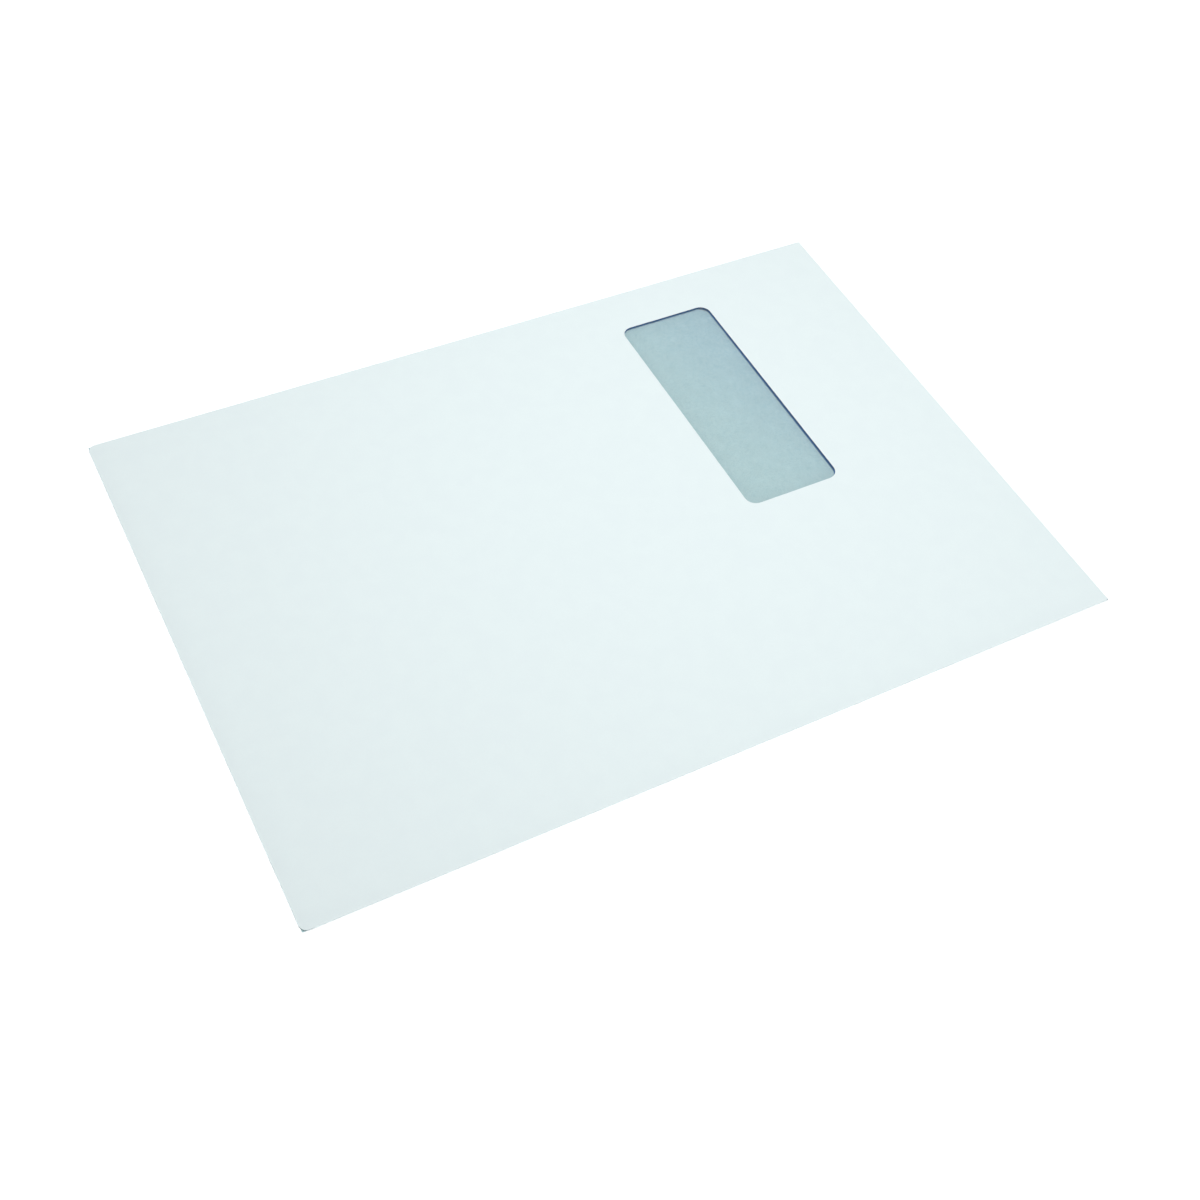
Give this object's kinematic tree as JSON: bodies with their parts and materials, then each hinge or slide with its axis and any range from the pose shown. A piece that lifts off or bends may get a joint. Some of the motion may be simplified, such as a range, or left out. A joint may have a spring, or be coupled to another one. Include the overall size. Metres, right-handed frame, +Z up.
{
  "type": "paper envelope",
  "caption": "Large white pocket envelope with a clear window, lying face up, with its closure flap folded under it and not sealed.",
  "frame": {"origin": "under the middle of the envelope, on the surface that it lies on", "axes": "+X to the reader's right, +Y along the envelope to the end that opens, +Z up out of the front panel"},
  "size_m": [0.229, 0.324, 0.0018],
  "materials": {
    "paper": "matt uncoated paper, cool white",
    "film": "clear glossy film",
    "glue": "dry white glue",
    "gum": "dry gum with a slight gloss"
  },
  "bodies": {
    "root": {"folded_blank": "paper", "window_film": "film", "window_glue": "glue", "left_seam_glue": "glue", "right_seam_glue": "glue", "flap_gum": "gum"}
  },
  "joints": []
}
